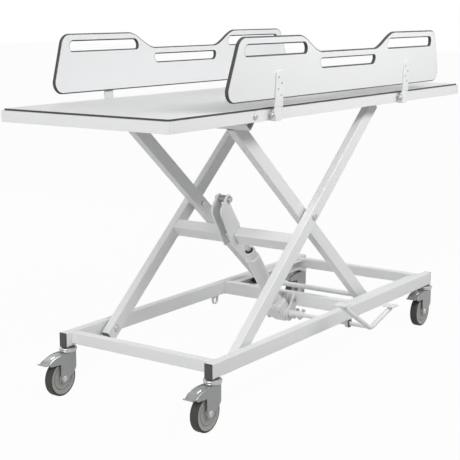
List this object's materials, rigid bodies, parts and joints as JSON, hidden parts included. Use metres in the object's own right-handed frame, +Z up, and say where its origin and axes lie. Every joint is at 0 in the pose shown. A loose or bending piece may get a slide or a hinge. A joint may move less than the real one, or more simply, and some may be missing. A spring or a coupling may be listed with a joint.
{
  "type": "hydraulic changing trolley",
  "caption": "Long flat changing trolley with fold-down side guards on a scissor lift raised by a foot-pumped hydraulic cylinder, standing on braked swivel castors.",
  "frame": {"origin": "on the floor, in the middle of the trolley's outline seen from above", "axes": "+Z up, +X along the table towards the foot end, -Y on the pedal side"},
  "size_m": [1.962, 0.7854, 1.2145],
  "materials": {
    "white_paint": "satin powder coat",
    "white_laminate": "smooth laminate",
    "dark_plastic": "matt",
    "roller_plastic": "matt",
    "zinc": "zinc plate",
    "chrome_rod": "ground and polished",
    "wheel_rubber": "grey rubber"
  },
  "bodies": {
    "base": {"base_tube_right": "white_paint", "base_tube_left": "white_paint", "cross_tube_head": "white_paint", "cross_tube_middle": "white_paint", "cross_tube_foot": "white_paint", "shaft_bush": "dark_plastic", "pump_bracket": "white_paint", "tube_cap_head_right": "dark_plastic", "tube_cap_head_left": "dark_plastic", "tube_cap_foot_right": "dark_plastic", "tube_cap_foot_left": "dark_plastic", "castor_head_head_right": "zinc", "castor_head_head_left": "zinc", "castor_head_foot_right": "zinc", "castor_head_foot_left": "zinc"},
    "outer_frame": {"outer_leg_right": "white_paint", "outer_leg_left": "white_paint", "lift_crossbar": "white_paint", "lever_plate_right": "white_paint", "lever_plate_left": "white_paint", "lever_pin": "zinc", "leg_cap_right": "dark_plastic", "leg_cap_left": "dark_plastic"},
    "inner_frame": {"inner_leg_right": "white_paint", "inner_leg_left": "white_paint", "inner_top_tube": "white_paint", "lower_axle": "white_paint"},
    "table": {"side_rail_right": "white_paint", "side_rail_left": "white_paint", "end_rail_head": "white_paint", "end_rail_foot": "white_paint", "table_panel": "white_laminate"},
    "lower_rollers": {"lower_roller_right": "roller_plastic", "lower_roller_left": "roller_plastic"},
    "upper_rollers": {"upper_roller_set": "roller_plastic"},
    "pump": {"pump_block": "white_paint", "lift_cylinder": "white_paint"},
    "rod": {"piston_rod": "chrome_rod"},
    "pedal": {"rocker_pedal": "white_paint", "coupling_sleeve": "white_paint"},
    "guard_right": {"guard_panel_right": "white_laminate", "guard_strap_head_right": "white_paint", "guard_strap_foot_right": "white_paint"},
    "guard_left": {"guard_panel_left": "white_laminate", "guard_strap_head_left": "white_paint", "guard_strap_foot_left": "white_paint"},
    "fork_head_right": {"castor_fork_head_right": "zinc"},
    "wheel_head_right": {"castor_wheel_head_right": "wheel_rubber"},
    "brake_head_right": {"brake_pedal_head_right": "zinc"},
    "fork_head_left": {"castor_fork_head_left": "zinc"},
    "wheel_head_left": {"castor_wheel_head_left": "wheel_rubber"},
    "brake_head_left": {"brake_pedal_head_left": "zinc"},
    "fork_foot_right": {"castor_fork_foot_right": "zinc"},
    "wheel_foot_right": {"castor_wheel_foot_right": "wheel_rubber"},
    "brake_foot_right": {"brake_pedal_foot_right": "zinc"},
    "fork_foot_left": {"castor_fork_foot_left": "zinc"},
    "wheel_foot_left": {"castor_wheel_foot_left": "wheel_rubber"},
    "brake_foot_left": {"brake_pedal_foot_left": "zinc"}
  },
  "joints": [
    {"name": "lift", "type": "hinge", "parent": "base", "child": "outer_frame", "pos_m": [-0.545, 0.0298, 0.19], "axis": [0, 1, 0], "range_deg": [0, 21.5]},
    {"name": "scissor_pivot", "type": "hinge", "parent": "outer_frame", "child": "inner_frame", "pos_m": [-0.08734, 0.0298, 0.578], "axis": [0, 1, 0], "range_deg": [-43.1, 0]},
    {"name": "table_pivot", "type": "hinge", "parent": "inner_frame", "child": "table", "pos_m": [-0.545, 0.0298, 0.966], "axis": [0, 1, 0], "range_deg": [0, 21.6]},
    {"name": "pump_tilt", "type": "hinge", "parent": "base", "child": "pump", "pos_m": [0.12497, 0.0298, 0.146], "axis": [0, 1, 0], "range_deg": [0, 4.6]},
    {"name": "rod_pivot", "type": "hinge", "parent": "outer_frame", "child": "rod", "pos_m": [-0.24493, 0.0298, 0.63646], "axis": [0, 1, 0], "range_deg": [-17.1, 0]},
    {"name": "pedal_rock", "type": "hinge", "parent": "base", "child": "pedal", "pos_m": [0.12497, 0.0298, 0.146], "axis": [0, 1, 0], "range_deg": [-12, 12], "stiffness_Nm_per_rad": 60},
    {"name": "lower_roller_spin", "type": "hinge", "parent": "inner_frame", "child": "lower_rollers", "pos_m": [0.37033, 0.0298, 0.19], "axis": [0, 1, 0], "continuous": true},
    {"name": "upper_roller_spin", "type": "hinge", "parent": "outer_frame", "child": "upper_rollers", "pos_m": [0.37033, 0.0298, 0.966], "axis": [0, 1, 0], "continuous": true},
    {"name": "guard_right_hinge", "type": "hinge", "parent": "table", "child": "guard_right", "pos_m": [0, -0.3142, 0.968], "axis": [1, 0, 0], "range_deg": [0, 175]},
    {"name": "guard_left_hinge", "type": "hinge", "parent": "table", "child": "guard_left", "pos_m": [0, 0.3738, 0.968], "axis": [-1, 0, 0], "range_deg": [0, 175]},
    {"name": "swivel_head_right", "type": "hinge", "parent": "base", "child": "fork_head_right", "pos_m": [-0.737, -0.2752, 0.165], "axis": [0, 0, 1], "continuous": true},
    {"name": "wheel_head_right_spin", "type": "hinge", "parent": "fork_head_right", "child": "wheel_head_right", "pos_m": [-0.779, -0.2752, 0.0625], "axis": [0, 1, 0], "continuous": true},
    {"name": "brake_head_right_press", "type": "hinge", "parent": "fork_head_right", "child": "brake_head_right", "pos_m": [-0.774, -0.2752, 0.134], "axis": [0, -1, 0], "range_deg": [0, 10]},
    {"name": "swivel_head_left", "type": "hinge", "parent": "base", "child": "fork_head_left", "pos_m": [-0.737, 0.3348, 0.165], "axis": [0, 0, 1], "continuous": true},
    {"name": "wheel_head_left_spin", "type": "hinge", "parent": "fork_head_left", "child": "wheel_head_left", "pos_m": [-0.779, 0.3348, 0.0625], "axis": [0, 1, 0], "continuous": true},
    {"name": "brake_head_left_press", "type": "hinge", "parent": "fork_head_left", "child": "brake_head_left", "pos_m": [-0.774, 0.3348, 0.134], "axis": [0, -1, 0], "range_deg": [0, 10]},
    {"name": "swivel_foot_right", "type": "hinge", "parent": "base", "child": "fork_foot_right", "pos_m": [0.777, -0.2752, 0.165], "axis": [0, 0, 1], "continuous": true},
    {"name": "wheel_foot_right_spin", "type": "hinge", "parent": "fork_foot_right", "child": "wheel_foot_right", "pos_m": [0.735, -0.2752, 0.0625], "axis": [0, 1, 0], "continuous": true},
    {"name": "brake_foot_right_press", "type": "hinge", "parent": "fork_foot_right", "child": "brake_foot_right", "pos_m": [0.74, -0.2752, 0.134], "axis": [0, -1, 0], "range_deg": [0, 10]},
    {"name": "swivel_foot_left", "type": "hinge", "parent": "base", "child": "fork_foot_left", "pos_m": [0.777, 0.3348, 0.165], "axis": [0, 0, 1], "continuous": true},
    {"name": "wheel_foot_left_spin", "type": "hinge", "parent": "fork_foot_left", "child": "wheel_foot_left", "pos_m": [0.735, 0.3348, 0.0625], "axis": [0, 1, 0], "continuous": true},
    {"name": "brake_foot_left_press", "type": "hinge", "parent": "fork_foot_left", "child": "brake_foot_left", "pos_m": [0.74, 0.3348, 0.134], "axis": [0, -1, 0], "range_deg": [0, 10]}
  ],
  "couplings": [
    {"joint": "scissor_pivot", "follows": "lift", "ratio": -2},
    {"joint": "table_pivot", "follows": "lift", "ratio": 1},
    {"joint": "pump_tilt", "follows": "lift", "ratio": 0.2095},
    {"joint": "rod_pivot", "follows": "lift", "ratio": -0.7905}
  ]
}
